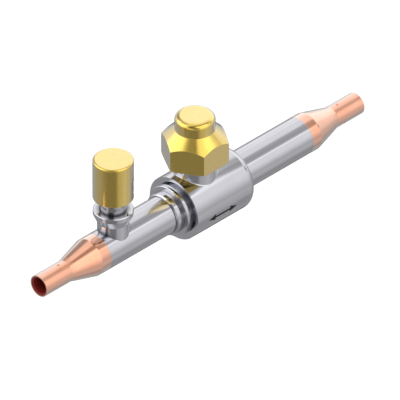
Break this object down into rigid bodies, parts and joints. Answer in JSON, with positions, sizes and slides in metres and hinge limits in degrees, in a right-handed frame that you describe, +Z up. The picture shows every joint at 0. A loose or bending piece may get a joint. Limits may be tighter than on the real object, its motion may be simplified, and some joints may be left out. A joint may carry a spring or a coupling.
{
  "type": "refrigerant service valve",
  "caption": "Inline quarter-turn ball service valve with long reduced copper solder ends, a hexagonal seal cap over the stem and a capped access port beside it.",
  "frame": {"origin": "centre of the mouth of the copper end beside the access port, on the line's axis", "axes": "+X along the line towards the other mouth, +Z up along the stem and the access port"},
  "size_m": [0.163, 0.0248, 0.0497],
  "materials": {
    "copper": "bright drawn copper",
    "steel": "polished nickel-plated steel",
    "brass": "machined brass",
    "plated_ball": "polished chrome plate",
    "stem_steel": "turned steel",
    "ptfe": "machined PTFE",
    "rubber": "moulded rubber",
    "spring_steel": "hardened spring steel"
  },
  "bodies": {
    "valve": {"port_side_copper": "copper", "plain_side_copper": "copper", "port_side_tube": "steel", "plain_side_tube": "steel", "end_plug": "steel", "valve_body": "steel", "port_side_seat": "ptfe", "plain_side_seat": "ptfe", "seat_carrier": "spring_steel", "carrier_o_ring": "rubber", "seat_spring": "spring_steel", "thrust_washer": "ptfe", "stop_pin": "spring_steel", "port_body": "steel", "core_body": "brass", "core_seal": "ptfe", "core_spring": "spring_steel"},
    "stem": {"stem": "stem_steel", "ball": "plated_ball", "lower_stem_o_ring": "rubber", "upper_stem_o_ring": "rubber", "stop_washer": "spring_steel", "stem_clip": "spring_steel"},
    "hex_cap_lift": {"hex_cap_gasket": "ptfe"},
    "hex_cap": {"hex_cap": "brass"},
    "port_cap_lift": {"port_cap_gasket": "rubber"},
    "port_cap": {"port_cap": "brass"},
    "core_pin": {"core_pin": "spring_steel", "core_pin_seal": "rubber"}
  },
  "joints": [
    {"name": "stem_turn", "type": "hinge", "parent": "valve", "child": "stem", "pos_m": [0.0796, 0, 0], "axis": [0, 0, -1], "range_deg": [0, 90]},
    {"name": "hex_cap_rise", "type": "slide", "parent": "valve", "child": "hex_cap_lift", "axis": [0, 0, 1], "range_m": [0, 0.005]},
    {"name": "hex_cap_turn", "type": "hinge", "parent": "hex_cap_lift", "child": "hex_cap", "pos_m": [0.0796, 0, 0], "axis": [0, 0, 1], "range_deg": [0, 1800]},
    {"name": "port_cap_rise", "type": "slide", "parent": "valve", "child": "port_cap_lift", "axis": [0, 0, 1], "range_m": [0, 0.01143]},
    {"name": "port_cap_turn", "type": "hinge", "parent": "port_cap_lift", "child": "port_cap", "pos_m": [0.03785, 0, 0], "axis": [0, 0, 1], "range_deg": [0, 3240]},
    {"name": "core_pin_press", "type": "slide", "parent": "valve", "child": "core_pin", "axis": [0, 0, -1], "range_m": [0, 0.0015], "stiffness_N_per_m": 800, "springref_m": -0.002, "deforming": ["core_spring"]}
  ],
  "couplings": [
    {"joint": "hex_cap_rise", "follows": "hex_cap_turn", "m_per_rad": 0.00015915},
    {"joint": "port_cap_rise", "follows": "port_cap_turn", "m_per_rad": 0.00020213}
  ]
}
